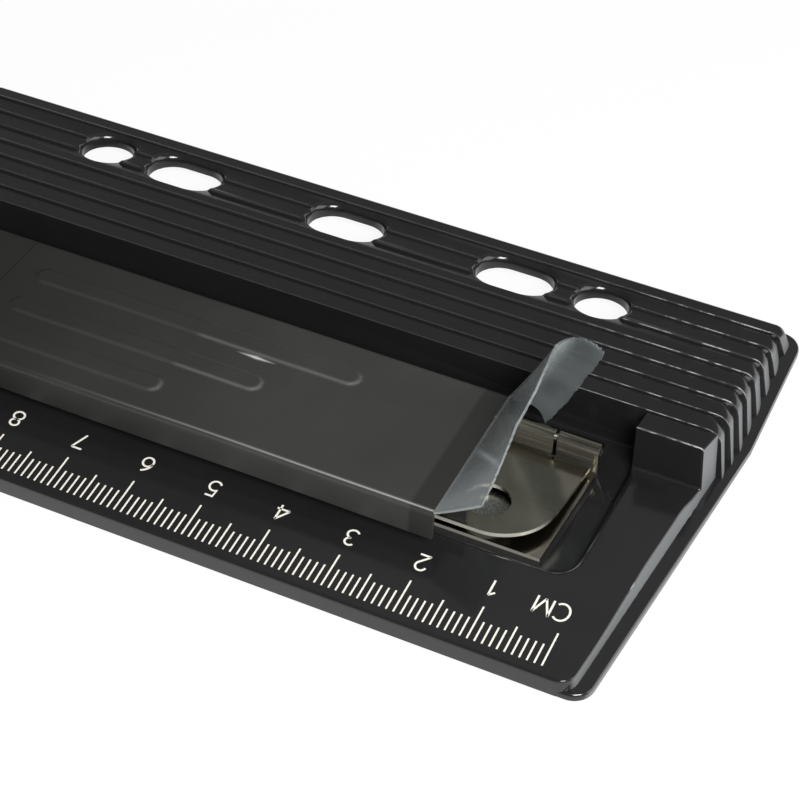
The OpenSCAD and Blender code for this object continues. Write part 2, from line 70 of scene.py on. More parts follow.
RECESS_FLOOR, RECESS_FRONT, RECESS_REAR = 1.6, -19.65, 5.65
RECESS_FRONT_HALF, RECESS_REAR_HALF = 53.8, 54.5
RECESS_CORNER, RECESS_RIM = 3.0, 1.0
RECESS_FILLET = np.array([[0.5], [0.15], [0.0]])
HOLLOW_NEAR, HOLLOW_FAR, HOLLOW_HALF, HOLLOW_ROOF = 7.65, 32.95, 61.5, 2.5
HINGE_Y, HINGE_Z = -0.15, 5.45
RIVET_X, RIVET_Y = np.array([-32.0, -12.0, 12.0, 32.0]), -7.25
WELL_R, WELL_DEPTH = 1.63, 0.7
TAPER = (REAR_HALF - FRONT_HALF) / TAPER_DEPTH
RIB_STARTS = BLOCK_FRONT + np.concatenate([[0], RIB_LAND + RIB_PITCH * np.arange(RIB_COUNT - 1)])
WEDGE = (BLOCK_TOP - BLOCK_END_TOP) / (BLOCK_REAR - BLOCK_FRONT)


def mesh_of(name, points, faces):
    """A mesh from points in millimetres and, for each face, the numbers of the points round it."""
    mesh = bpy.data.meshes.new(name)
    mesh.from_pydata(np.asarray(points, float) * MM, [], [tuple(map(int, f)) for f in faces])
    mesh.validate()
    return mesh


def points_of(mesh):
    """The points of a mesh, in millimetres."""
    co = np.empty(len(mesh.vertices) * 3)
    mesh.vertices.foreach_get("co", co)
    return co.reshape(-1, 3) / MM


def shown(name, mesh, smooth=30):
    """A scene object for a mesh, smooth except across edges sharper than the angle in degrees."""
    piece = bpy.data.objects.new(name, mesh)
    bpy.context.scene.collection.objects.link(piece)
    mesh.shade_smooth()
    mesh.set_sharp_from_angle(angle=np.radians(smooth))
    return piece


def marked(piece, name, values):
    """Gives each point of a piece a value, which its material reads by that name."""
    attribute = piece.data.attributes.new(name, "FLOAT", "POINT")
    attribute.data.foreach_set("value", values.astype(np.float32))


def tube_faces(rings, sides):
    """Quads of a closed tube of rings joined in order, with a polygon over each end."""
    ring, side = np.meshgrid(np.arange(rings - 1), np.arange(sides), indexing="ij")
    here, there = ring * sides + side, ring * sides + (side + 1) % sides
    walls = np.stack([here, there, there + sides, here + sides], -1).reshape(-1, 4)
    start = tuple(range(sides - 1, -1, -1))
    end = tuple(range((rings - 1) * sides, rings * sides))
    return [tuple(w) for w in walls] + [start, end]


def quarter_turn(count):
    """Angles from 0 to a right angle, in radians, evenly spaced."""
    return np.radians(np.linspace(0, 90, count))


def rounded_outline(corners, radii, steps=10):
    """Points round a convex outline, anticlockwise: each corner is an arc of its radius, and zero keeps it
    sharp."""
    corners = np.asarray(corners, float)
    points = []
    neighbours = zip(np.roll(corners, 1, 0), corners, np.roll(corners, -1, 0), radii)
    for before, corner, after, radius in neighbours:
        if radius == 0:
            points.append(corner[None])
            continue
        a, b = before - corner, after - corner
        a, b = a / np.linalg.norm(a), b / np.linalg.norm(b)
        half = np.arccos(a @ b) / 2
        middle = corner + (a + b) / np.linalg.norm(a + b) * radius / np.sin(half)
        start = corner + a * radius / np.tan(half) - middle
        angle = np.arctan2(start[1], start[0]) + np.linspace(0, np.pi - 2 * half, steps)
        points.append(middle + radius * np.stack([np.cos(angle), np.sin(angle)], -1))
    return np.concatenate(points)


def outward(outline):
    """Normals of an anticlockwise outline, each halfway between those of its two edges and as long as keeps
    both edges one unit away when the outline is moved out by it."""
    edge = np.roll(outline, -1, 0) - outline
    normal = np.stack([edge[:, 1], -edge[:, 0]], -1) / np.linalg.norm(edge, axis=1, keepdims=True)
    both = normal + np.roll(normal, 1, 0)
    both /= np.linalg.norm(both, axis=1, keepdims=True)
    return both / np.sum(both * normal, axis=1, keepdims=True)


def stacked(outline, offsets, heights):
    """A solid of copies of an outline, one per level, each moved out by its offset and up to its height."""
    levels = (len(offsets), len(outline))
    offsets = np.broadcast_to(np.asarray(offsets, float).reshape(len(offsets), -1), levels)
    heights = np.broadcast_to(np.asarray(heights, float).reshape(len(heights), -1), levels)
    plan = outline[None] + outward(outline)[None] * offsets[..., None]
    points = np.concatenate([plan, heights[..., None]], -1).reshape(-1, 3)
    return points, tube_faces(*levels)


def prism(section, half):
    """A solid of one outline in y and z, carried along x from minus half to half."""
    points = np.concatenate([np.insert(section, 0, x, axis=1) for x in (-half, half)])
    return points, tube_faces(2, len(section))


def joined(solids):
    """Several solids as one list of points and one of faces."""
    points, faces, count = [], [], 0
    for p, f in solids:
        points.append(p)
        faces += [tuple(i + count for i in face) for face in f]
        count += len(p)
    return np.concatenate(points), faces


def flange_half(y):
    """Half length of the flange at y: it grows evenly from the front and then stays the same."""
    return np.minimum(REAR_HALF, FRONT_HALF + TAPER * (y - FRONT_Y))


def wall_half(y):
    """Half length at the foot of the end wall, a flange's width inside the flange."""
    return flange_half(y) - FLANGE_WIDTH * np.sqrt(1 + TAPER**2)


def wedge_top(y):
    """Height of the wedge's top line at y: it falls evenly from the block's front to its rear."""
    return BLOCK_TOP - WEDGE * (y - BLOCK_FRONT)


def rounding(depth, radius):
    """How far a corner of that radius draws back at a depth from its outermost line."""
    inside = np.clip(radius - depth, 0, radius)
    return radius - np.sqrt(radius**2 - inside**2)


def eased(value):
    """0 below 0, 1 above 1 and a smooth S between."""
    value = np.clip(value, 0, 1)
    return value * value * (3 - 2 * value)


def rows_of(*columns):
    """Columns as the rows of one table, with single values repeated down it."""
    return np.stack(np.broadcast_arrays(*columns), -1)


def body_stations():
    """Stations from front to rear, as (y, half length at the flange's top, top, radius over the end, slope of
    the end wall): the plate rises over its front edge, its end walls splay out from upright, the front wall
    climbs to the block, and each rib rises by an arc, then falls evenly. The first rib's ends line up with
    the plate, the others stand further out at the foot and are hollowed towards the next rib, except the
    last."""
    t = quarter_turn(7)
    rise = 1 - np.cos(t)
    d = np.unique(np.concatenate([PLATE_EDGE * rise, PLATE_CORNER * rise, np.arange(3, 36, 1.5)]))
    y = FRONT_Y + d
    half, top = wall_half(y) - rounding(d, PLATE_CORNER), PLATE_TOP - rounding(d, PLATE_EDGE)
    splay = SPLAY * eased((d - SPLAY_FROM) / SPLAY_RUN)
    splay = DRAFT + splay * (1 - eased((y - SPLAY_FADE_FROM) / SPLAY_FADE_RUN))
    rows = [rows_of(y, half, top, PLATE_EDGE, splay)]
    y = BLOCK_FRONT - BLOCK_FOOT + BLOCK_FOOT * np.sin(t)
    rows.append(rows_of(y, wall_half(y), PLATE_TOP + BLOCK_FOOT * rise, PLATE_EDGE, DRAFT))
    t = np.radians(np.linspace(0, RIB_ARC, 8))
    ends = np.append(RIB_STARTS[1:], BLOCK_REAR)
    for i, (start, end) in enumerate(zip(RIB_STARTS, ends)):
        first, last = i == 0, i == RIB_COUNT - 1
        top = wedge_top(start)
        edge, setback, over = RIB_EDGE, RIB_SETBACK, min(RIB_END, RIB_END_SHARE * top)
        slope = (flange_half(start) - BLOCK_INSET - BLOCK_TOP_HALF) / top
        half = flange_half(start) - BLOCK_INSET - FLANGE_TOP * slope
        if first:
            edge, setback, over, slope, half = FIRST_EDGE, FIRST_EDGE, FIRST_END, DRAFT, wall_half(start)
        y = start + setback + np.append(-LIP_FORWARD, edge * (1 - np.cos(t)))
        drop = np.append(edge + LIP_DROP, edge * (1 - np.sin(t)))
        rows.append(rows_of(y, half - (0 if first else drop), top - drop, over, slope))
        y = np.append(y[-1] + 0.1, np.linspace(y[-1] + 0.4, end - (REAR_EDGE if last else RIB_GAP), 7))
        share = (y - start) / (end - start)
        fall = top - share * (WEDGE * (end - start) + RIB_STEP)
        out = FIRST_FLARE * share if first else 0 * share if last else -FLUTE_DEPTH * share**2.5
        rows.append(rows_of(y, half + out, fall, over, slope))
    t = np.radians(np.linspace(15, 90, 6))
    y = BLOCK_REAR - REAR_EDGE + REAR_EDGE * np.sin(t)
    top = rows[-1][-1, 2] - REAR_EDGE * (1 - np.cos(t))
    rows.append(rows_of(y, rows[-1][-1, 1], top, over, slope))
    table = np.concatenate(rows)
    table[:, 1] -= rounding(BLOCK_REAR - table[:, 0], REAR_CORNER)
    return table


def lean(y):
    """How far a section leans per millimetre of height: its foot stands forward, most in mid block."""
    return LEAN * eased((y - LEAN_FROM) / LEAN_RUN) * (1 - eased((y - UPRIGHT_FROM) / UPRIGHT_RUN))


def body_loft(stations):
    """Cross-sections at each station joined front to rear: a foot, a sloping end wall and an arc over to the
    top. Each leans about the wedge's top line."""
    y, half, top, radius, slope = stations.T[:, :, None]
    radius = np.minimum(radius, (top - FOOT_CHAMFER) * 0.8)
    draft = np.arctan(slope)
    turn = draft + (np.pi / 2 - draft) * np.linspace(0, 1, 10)
    middle_z = top - radius
    middle_x = half - (middle_z - FLANGE_TOP) * slope - radius / np.cos(draft)
    x = np.concatenate([half + (FLANGE_TOP - FOOT_CHAMFER) * slope, middle_x + radius * np.cos(turn)], 1)
    z = np.concatenate([np.full_like(half, FOOT_CHAMFER), middle_z + radius * np.sin(turn)], 1)
    x, z = np.concatenate([x, -x[:, ::-1]], 1), np.concatenate([z, z[:, ::-1]], 1)
    y = y - lean(y) * (wedge_top(y) - z)
    return np.stack([x, y, z], -1).reshape(-1, 3), tube_faces(*x.shape)


def top_of(y, stations):
    """Height of the body's top at y, read between the stations."""
    return np.interp(y, stations[:, 0], stations[:, 2])


def recess_cutter():
    """The recess as a solid: a floor fillet, upright walls and, where the ruler plate is, a rounded rim."""
    front, rear = RECESS_FRONT_HALF, RECESS_REAR_HALF
    corners = [[-front, RECESS_FRONT], [front, RECESS_FRONT],
               [rear, 0.0], [rear, BLOCK_FRONT], [rear, RECESS_REAR],
               [-rear, RECESS_REAR], [-rear, BLOCK_FRONT], [-rear, 0.0]]
    outline = rounded_outline(corners, [RECESS_CORNER] * 2 + [0] * 6)
    rim = np.where(outline[:, 1] < BLOCK_FRONT - 0.5, RECESS_RIM, 0.02)[None]
    fillet, t = RECESS_FILLET + 0 * rim, quarter_turn(7)[:, None]
    wall = PLATE_TOP - RECESS_FLOOR - rim * (1 - np.sin(t))
    offsets = np.concatenate([-fillet, rim * (1 - np.cos(t)), rim])
    heights = np.concatenate([fillet[::-1], wall, 12 + 0 * rim])
    return stacked(outline, offsets, heights + RECESS_FLOOR)


def hole_cutter(x, straight, radius, stations):
    """A filing hole as a solid: an outline with half-round ends, flared at a rim that follows the ribs."""
    t = np.radians(np.linspace(-90, 90, 25))
    right = np.stack([straight + radius * np.cos(t), radius * np.sin(t)], -1)
    right = right if straight else right[:-1]
    outline = np.concatenate([right, -right]) + [x, FILING_Y]
    t = quarter_turn(6)[:, None]
    top = top_of(outline[:, 1] + outward(outline)[:, 1] * FILING_RIM, stations)[None]
    offsets = np.concatenate([0 * top, FILING_RIM * (1 - np.cos(t)) + 0 * top, FILING_RIM + 0 * top])
    heights = np.concatenate([0 * top - 2, top - FILING_RIM * (1 - np.sin(t)), top + 4])
    return stacked(outline, offsets, heights)


def hollow_cutter():
    """The space under the block as a solid: a prism whose roof follows the wedge."""
    low, near, far = -1, wedge_top(HOLLOW_NEAR) - HOLLOW_ROOF, wedge_top(HOLLOW_FAR) - HOLLOW_ROOF
    section = [[HOLLOW_NEAR, low], [HOLLOW_FAR, low], [HOLLOW_FAR, far], [HOLLOW_NEAR, near]]
    return prism(np.array(section), HOLLOW_HALF)


def rivet_well(x):
    """A round counterbore under the body: a circle carried straight up."""
    t = np.radians(np.arange(0, 360, 15))
    circle = np.stack([x + WELL_R * np.cos(t), RIVET_Y + WELL_R * np.sin(t)], -1)
    return stacked(circle, [0, 0], [-1, WELL_DEPTH])


def cut(name, solid, cutters):
    """A solid less several groups of cutters, worked out as closed volumes."""
    mesh = mesh_of(name, *solid)
    for group in cutters:
        whole = bpy.data.objects.new(name, mesh)
        tool = bpy.data.objects.new(name + "_tool", mesh_of(name + "_tool", *joined(group)))
        for o in (whole, tool):
            bpy.context.scene.collection.objects.link(o)
        step = whole.modifiers.new("cut", "BOOLEAN")
        step.operation, step.solver, step.object = "DIFFERENCE", "MANIFOLD", tool
        seen = whole.evaluated_get(bpy.context.evaluated_depsgraph_get())
        mesh = bpy.data.meshes.new_from_object(seen)
        for o in (whole, tool):
            bpy.data.objects.remove(o)
    return mesh


def merged(name, meshes):
    """One mesh from several."""
    return mesh_of(name, *joined((points_of(m), [p.vertices for p in m.polygons]) for m in meshes))


stations = body_stations()
filing_holes = [hole_cutter(x, 0, FILING_R, stations) for x in (-FILING_X, FILING_X)]
straight = SLOT_LENGTH / 2 - SLOT_R
filing_holes += [hole_cutter(x, straight, SLOT_R, stations) for x in (-SLOT_X, 0.0, SLOT_X)]
wells = [rivet_well(x) for x in RIVET_X]
upper = cut("upper", body_loft(stations), [[recess_cutter(), hollow_cutter()], filing_holes + wells])
kink = FRONT_Y + TAPER_DEPTH
plan = rounded_outline(
    [[-FRONT_HALF, FLANGE_FRONT], [FRONT_HALF, FLANGE_FRONT], [REAR_HALF, kink], [REAR_HALF, REAR_Y],
     [-REAR_HALF, REAR_Y], [-REAR_HALF, kink]],
    [FLANGE_CORNER, FLANGE_CORNER, 0] * 2)
t = quarter_turn(6)
slab = stacked(plan, np.concatenate([[-FOOT_CHAMFER, 0], -FLANGE_EDGE * (1 - np.cos(t))]),
               np.concatenate([[0, FOOT_CHAMFER], FLANGE_TOP - FLANGE_EDGE * (1 - np.sin(t))]))
slab = cut("slab", slab, [[hollow_cutter()], filing_holes + wells])
moulding = shown("base_body_moulding", merged("base_body_moulding", [slab, upper]))
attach(moulding, "base")
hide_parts("base_body")

# How far behind a rib's start its dull edge begins and ends, and where the dull rim of the recess is; both
# carry a painted highlight
WEAR_AND_HIGHLIGHT_FIRST, WEAR_AND_HIGHLIGHT_OTHERS, WEAR_AND_HIGHLIGHT_REACH = (0.145, 0.26), (0.015, 0.08), 1.6
WEAR_AND_HIGHLIGHT_RIM_X, WEAR_AND_HIGHLIGHT_RIM_DROP, WEAR_AND_HIGHLIGHT_RIM_BAND = 44.0, 0.134, 0.05


def rib_edges(mesh):
    """Where each point of the moulding is on a rib's front edge or on the rim at the recess's front right
    corner: 1 on the arc over it, less round a rib's end, and 0 away from it. The lean is undone first, by
    closer guesses."""
    x, y, z = points_of(mesh).T
    upright = y
    for _ in range(8):
        upright = y + lean(upright) * (wedge_top(upright) - z)
    i = np.clip(np.searchsorted(RIB_STARTS, upright) - 1, 0, RIB_COUNT - 1)
    past, drop = upright - RIB_STARTS[i], wedge_top(RIB_STARTS[i]) - z
    begins, ends = np.where(i[:, None] == 0, WEAR_AND_HIGHLIGHT_FIRST, WEAR_AND_HIGHLIGHT_OTHERS).T
    near = (past > begins) & (past < ends) & (drop < WEAR_AND_HIGHLIGHT_REACH)
    rim = (abs(z - PLATE_TOP + WEAR_AND_HIGHLIGHT_RIM_DROP) < WEAR_AND_HIGHLIGHT_RIM_BAND) & (x > WEAR_AND_HIGHLIGHT_RIM_X)
    rim &= (y > RECESS_FRONT - RECESS_RIM) & (y < RECESS_FRONT + RECESS_CORNER)
    return np.where(rim, 1, near * np.where(drop > 0.2, 0.7, 1))


marked(moulding, "rib_edge", rib_edges(moulding.data))


def linear(hex_colour):
    """An sRGB hex colour as linear red, green, blue and 1: the straight part below 0.04045, the power above
    it."""
    c = np.array([int(hex_colour[i:i + 2], 16) for i in (1, 3, 5)]) / 255
    return (*np.where(c <= 0.04045, c / 12.92, ((c + 0.055) / 1.055) ** 2.4), 1.0)


def add(tree, kind, links=(), **settings):
    """Adds a node. Each setting is one of its properties or else the value of an input, by the input's name
    with underscores for spaces or by its number after an underscore. Each link is a source and an input."""
    node = tree.nodes.new(kind)
    for key, value in settings.items():
        if hasattr(node, key):
            setattr(node, key, value)
        else:
            name = int(key[1:]) if key[1:].isdigit() else key.replace("_", " ")
            node.inputs[name].default_value = value
    for source, socket in links:
        tree.links.new(source, node.inputs[socket])
    return node


def new_material(name):
    """An empty node material and its output node."""
    material = bpy.data.materials.new(name)
    material.use_nodes = True
    material.node_tree.nodes.clear()
    return material, material.node_tree, material.node_tree.nodes.new("ShaderNodeOutputMaterial")


# Moulded ABS in gloss black: the mould's polish, broken up by swirls about 6 mm across and handling marks
# under 1 mm. The end walls are satin from the mould's spark-eroded texture, and their grey where they face
# left or right is painted light. The rib edges and the recess's front right corner are dull, and to the right
# they carry a painted highlight, pale in patches of some 2 mm.
abs_black, tree, out = new_material("moulded_abs_gloss_black")
place = add(tree, "ShaderNodeTexCoord")
normal = add(tree, "ShaderNodeSeparateXYZ", [(place.outputs["Normal"], 0)])
facing = add(tree, "ShaderNodeMath", [(normal.outputs["X"], 0)], operation="ABSOLUTE")
facing = add(tree, "ShaderNodeMapRange", [(facing.outputs[0], "Value")], From_Min=0.74, From_Max=0.93)
across = add(tree, "ShaderNodeSeparateXYZ", [(place.outputs["Object"], 0)])
outer = add(tree, "ShaderNodeMath", [(across.outputs["X"], 0)], operation="ABSOLUTE")
outer = add(tree, "ShaderNodeMapRange", [(outer.outputs[0], "Value")],
            From_Min=55.6 * MM, From_Max=56.6 * MM)
satin_and_painted_light = add(tree, "ShaderNodeMath", [(facing.outputs[0], 0), (outer.outputs[0], 1)], operation="MULTIPLY")
rib_edge = add(tree, "ShaderNodeAttribute", attribute_name="rib_edge")
upward = add(tree, "ShaderNodeMapRange", [(normal.outputs["Z"], "Value")], From_Min=0.1, From_Max=0.3)
dull = add(tree, "ShaderNodeMath", [(rib_edge.outputs["Fac"], 0), (upward.outputs[0], 1)],
           operation="MULTIPLY")
edge_highlight = add(tree, "ShaderNodeMapRange", [(dull.outputs[0], "Value")], From_Min=0.5, From_Max=0.9)
right = add(tree, "ShaderNodeMapRange", [(across.outputs["X"], "Value")],
            From_Min=36 * MM, From_Max=62 * MM)
edge_highlight = add(tree, "ShaderNodeMath", [(edge_highlight.outputs[0], 0), (right.outputs[0], 1)], operation="MULTIPLY")
patches = add(tree, "ShaderNodeTexNoise", [(place.outputs["Object"], "Vector")],
              Scale=1 / (1.818 * MM), Detail=3.0)
patches = add(tree, "ShaderNodeMapRange", [(patches.outputs["Fac"], "Value")], From_Min=0.43, From_Max=0.6)
painted_edge_highlight = add(tree, "ShaderNodeMath", [(edge_highlight.outputs[0], 0), (patches.outputs[0], 1)], operation="MULTIPLY")
swirl = add(tree, "ShaderNodeTexNoise", [(place.outputs["Object"], "Vector")],
            Scale=1 / (6.25 * MM), Detail=3.0)
tone = add(tree, "ShaderNodeMix", [(swirl.outputs["Fac"], "Factor")], data_type="RGBA",
           _6=linear("#19191a"), _7=linear("#1e1e1f"))
# Painted light: a grey on the end walls where they face left or right
tone = add(tree, "ShaderNodeMix", [(satin_and_painted_light.outputs[0], "Factor"), (tone.outputs[2], 6)], data_type="RGBA",
           _7=linear("#606263"))
# Painted highlight: the dull rib edges and the recess's corner rim turn pale to the right, in patches
tone = add(tree, "ShaderNodeMix", [(painted_edge_highlight.outputs[0], "Factor"), (tone.outputs[2], 6)], data_type="RGBA",
           _7=linear("#a5a7a6"))
gloss = add(tree, "ShaderNodeMapRange", [(swirl.outputs["Fac"], "Value")], To_Min=0.1, To_Max=0.2)
gloss = add(tree, "ShaderNodeMix", [(dull.outputs[0], "Factor"), (gloss.outputs["Result"], 2)], _3=0.75)
gloss = add(tree, "ShaderNodeMix", [(satin_and_painted_light.outputs[0], "Factor"), (gloss.outputs[0], 2)], _3=0.5)
marks = add(tree, "ShaderNodeTexNoise", [(place.outputs["Object"], "Vector")],
            Scale=1 / (0.7143 * MM), Detail=4.0)
relief = add(tree, "ShaderNodeBump", [(marks.outputs["Fac"], "Height")], Strength=0.06, Distance=0.05 * MM)
shader = add(tree, "ShaderNodeBsdfPrincipled",
             [(tone.outputs[2], "Base Color"), (gloss.outputs[0], "Roughness"),
              (relief.outputs["Normal"], "Normal")], IOR=1.53)
tree.links.new(shader.outputs["BSDF"], out.inputs["Surface"])
moulding.data.materials.append(abs_black)

# Printed scale: cream-white ink pad-printed on the ruler plate, in centimetres with half-centimetre
# and millimetre ticks, numbered from the right and read from the ribbed side.
ZERO_X, LAST_CM, INK_TOP, PEN = 56.1, 11, PLATE_TOP + 0.02, 0.29
TICK_Y, TICK_HALF, TICK_COUNT = -34.25, 0.12, 112
TICK_CM, TICK_HALF_CM, TICK_MM = 5.43, 4.27, 3.2
FIGURE_Y, FIGURE_HIGH, FIGURE_SHIFT, FIGURE_GAP = -25.6, 2.55, 0.1, 0.22
UNIT_X, UNIT_HIGH = 54.0, 2.75
steps = np.arange(TICK_COUNT)
reach = np.where(steps % 10 == 0, TICK_CM, np.where(steps % 5 == 0, TICK_HALF_CM, TICK_MM))
corner_x = (ZERO_X - steps)[:, None] + TICK_HALF * np.array([-1, 1, 1, -1])
corner_y = TICK_Y + reach[:, None] * np.array([0, 0, 1, 1])
ticks = np.stack([corner_x, corner_y, np.full_like(corner_x, INK_TOP)], -1).reshape(-1, 3)


def bow(x, y, rx, ry, start, end):
    """Points along an ellipse about (x, y), between two angles in degrees."""
    t = np.radians(np.linspace(start, end, 21))
    return np.stack([x + rx * np.cos(t), y + ry * np.sin(t)], -1)


def strokes(corners):
    """One straight pen path for each step between corners."""
    return [np.array(step, float) for step in zip(corners[:-1], corners[1:])]


# Figures drawn with one pen, one unit high: each is a list of pen paths
six = [bow(0.3, 0.31, 0.29, 0.31, 0, 360), bow(0.75, 0.36, 0.74, 0.66, 180, 115)]
FIGURES = {
    "0": [bow(0.3, 0.5, 0.3, 0.5, 0, 360)],
    "1": strokes([[0.04, 0.74], [0.32, 1], [0.32, 0]]),
    "2": [np.concatenate([bow(0.3, 0.71, 0.28, 0.29, 170, -35), [[0.02, 0]]])] + strokes([[0, 0], [0.6, 0]]),
    "3": [np.concatenate([bow(0.28, 0.76, 0.25, 0.24, 150, -80), bow(0.28, 0.27, 0.3, 0.27, 80, -150)])],
    "4": strokes([[0.52, 0], [0.52, 1], [0, 0.28], [0.7, 0.28]]),
    "5": [np.concatenate([[[0.55, 1], [0.13, 1]], bow(0.28, 0.32, 0.31, 0.32, 130, -150)])],
    "6": six,
    "7": strokes([[0.02, 1], [0.6, 1], [0.2, 0]]),
    "8": [bow(0.3, 0.27, 0.3, 0.27, 0, 360), bow(0.3, 0.77, 0.25, 0.23, 0, 360)],
    "9": [np.array([0.6, 1]) - path for path in six],
    "C": [bow(0.4, 0.5, 0.4, 0.5, 48, 312)],
    "M": strokes([[0, 0], [0, 1], [0.39, 0.05], [0.78, 1], [0.78, 0]]),
}


def pen_line(path, width):
    """A line of even width along a path: each point goes both ways along the mitre of its two steps."""
    closed = np.allclose(path[0], path[-1])
    step = np.diff(path, axis=0)
    normal = np.stack([-step[:, 1], step[:, 0]], -1) / np.linalg.norm(step, axis=1, keepdims=True)
    before = np.concatenate([normal[-1:] if closed else normal[:1], normal])
    after = np.concatenate([normal, normal[:1] if closed else normal[-1:]])
    mitre = (before + after) / np.maximum(1 + np.sum(before * after, 1, keepdims=True), 0.6)
    n, i = len(path), np.arange(len(path) - 1)
    sides = np.concatenate([path - mitre * width / 2, path + mitre * width / 2])
    return sides, np.stack([i, i + 1, i + 1 + n, i + n], -1)


def printed(text, x, y, height):
    """Figures of that height side by side, centred on a place and turned half round to read from the rear."""
    widths = [max(path[:, 0].max() for path in FIGURES[c]) for c in text]
    starts = np.concatenate([[0], np.cumsum(np.array(widths) + FIGURE_GAP)])
    half = np.array([starts[-1] - FIGURE_GAP, 1]) * height / 2
    lines = []
    for c, start in zip(text, starts):
        for path in FIGURES[c]:
            sides, quads = pen_line((path + [start, 0]) * height, PEN)
            sides = np.array([x, y]) + half - sides
            lines.append((np.insert(sides, 2, INK_TOP, axis=1), quads))
    return lines


ink = [(ticks, np.arange(len(ticks)).reshape(-1, 4))]
for k in range(1, LAST_CM + 1):
    ink += printed(str(k), ZERO_X - 10 * k + FIGURE_SHIFT, FIGURE_Y, FIGURE_HIGH)
ink += printed("CM", UNIT_X, FIGURE_Y, UNIT_HIGH)
scale = shown("scale_print", mesh_of("scale_print", *joined(ink)))
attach(scale, "base")

# Pad-printing ink: matt cream white, a little thin in places about 0.4 mm across.
ink_white, tree, out = new_material("pad_print_ink_cream")
place = add(tree, "ShaderNodeTexCoord")
thin = add(tree, "ShaderNodeTexNoise", [(place.outputs["Object"], "Vector")],
           Scale=1 / (0.4 * MM), Detail=2.0)
tone = add(tree, "ShaderNodeMix", [(thin.outputs["Fac"], "Factor")], data_type="RGBA",
           _6=linear("#d6d2c6"), _7=linear("#efece2"))
shader = add(tree, "ShaderNodeBsdfPrincipled", [(tone.outputs[2], "Base Color")], Roughness=0.55)
tree.links.new(shader.outputs["BSDF"], out.inputs["Surface"])
scale.data.materials.append(ink_white)

# Punch plate and die plate: two leaves of thin pressed steel, nickel-plated, rolled into knuckles
# on one pin. The plating is bright and slightly warm, with fine drawing lines from the press that show
# dark where it is rolled, and a painted highlight makes the edges that face the front right pale and less
# metallic.
PAINTED_LIGHT_SIDE = (0.45, -0.85, 0.25)
nickel, tree, out = new_material("nickel_plated_steel")
place = add(tree, "ShaderNodeTexCoord")
drawn = add(tree, "ShaderNodeMapping", [(place.outputs["Object"], "Vector")],
            Scale=(1 / (16.67 * MM), 1 / (0.3846 * MM), 1 / (0.3846 * MM)))
lines = add(tree, "ShaderNodeTexNoise", [(drawn.outputs["Vector"], "Vector")], Scale=1.0, Detail=4.0)
clouds = add(tree, "ShaderNodeTexNoise", [(place.outputs["Object"], "Vector")],
             Scale=1 / (4.167 * MM), Detail=3.0)
tone = add(tree, "ShaderNodeMix", [(clouds.outputs["Fac"], "Factor")], data_type="RGBA",
           _6=linear("#8c8779"), _7=linear("#b3afa2"))
along = add(tree, "ShaderNodeSeparateXYZ", [(place.outputs["Object"], 0)])
barrel = add(tree, "ShaderNodeMapRange", [(along.outputs["Y"], "Value")], From_Min=-4 * MM, From_Max=-2 * MM)
streak = add(tree, "ShaderNodeMapRange", [(lines.outputs["Fac"], "Value")],
             From_Min=0.42, From_Max=0.6, To_Max=0.8)
streak = add(tree, "ShaderNodeMath", [(streak.outputs[0], 0), (barrel.outputs[0], 1)], operation="MULTIPLY")
tone = add(tree, "ShaderNodeMix", [(streak.outputs[0], "Factor"), (tone.outputs[2], 6)], data_type="RGBA",
           _7=linear("#4f4b41"))
gloss = add(tree, "ShaderNodeMapRange", [(lines.outputs["Fac"], "Value")], To_Min=0.1, To_Max=0.24)
relief = add(tree, "ShaderNodeBump", [(lines.outputs["Fac"], "Height")], Strength=0.12, Distance=0.03 * MM)
# Painted highlight: edges facing the front right turn pale and less metallic, less so on the knuckles
edge = add(tree, "ShaderNodeVectorMath", [(place.outputs["Normal"], 0)],
           operation="DOT_PRODUCT", _1=PAINTED_LIGHT_SIDE)
edge = add(tree, "ShaderNodeMapRange", [(edge.outputs["Value"], "Value")], From_Min=0.6, From_Max=0.9)
leaf = add(tree, "ShaderNodeMapRange", [(barrel.outputs[0], "Value")], To_Min=1.0, To_Max=0.25)
edge = add(tree, "ShaderNodeMath", [(edge.outputs[0], 0), (leaf.outputs[0], 1)], operation="MULTIPLY")
tone = add(tree, "ShaderNodeMix", [(edge.outputs[0], "Factor"), (tone.outputs[2], 6)], data_type="RGBA",
           _7=linear("#c9c6bb"))
painted_light_metallic = add(tree, "ShaderNodeMapRange", [(edge.outputs[0], "Value")], To_Min=1.0, To_Max=0.45)
shader = add(tree, "ShaderNodeBsdfPrincipled",
             [(tone.outputs[2], "Base Color"), (gloss.outputs["Result"], "Roughness"),
              (relief.outputs["Normal"], "Normal"), (painted_light_metallic.outputs[0], "Metallic")])
tree.links.new(shader.outputs["BSDF"], out.inputs["Surface"])


def softened(node, body, finish, width):
    """A copy of a CAD piece with its triangles merged into whole faces and its edges rounded by a bevel."""
    work = bmesh.new()
    work.from_mesh(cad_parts[node].data)
    bmesh.ops.remove_doubles(work, verts=work.verts, dist=1e-7)
    bmesh.ops.dissolve_limit(work, angle_limit=np.radians(0.5), verts=work.verts, edges=work.edges)
    mesh = bpy.data.meshes.new(node + "_finished")
    work.to_mesh(mesh)
    work.free()
    piece = shown(node + "_finished", mesh, 35)
    if width:
        edge = piece.modifiers.new("edge", "BEVEL")
        edge.width, edge.segments = width * MM, 3
        edge.limit_method, edge.angle_limit = "ANGLE", np.radians(40)
        edge.harden_normals = True
    if body:
        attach(piece, body)
    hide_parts(node)
    mesh.materials.clear()
    mesh.materials.append(finish)
    return piece


softened("punch_plate", "base", nickel, 0.2)
softened("die_plate", "press_bar", nickel, 0.28)

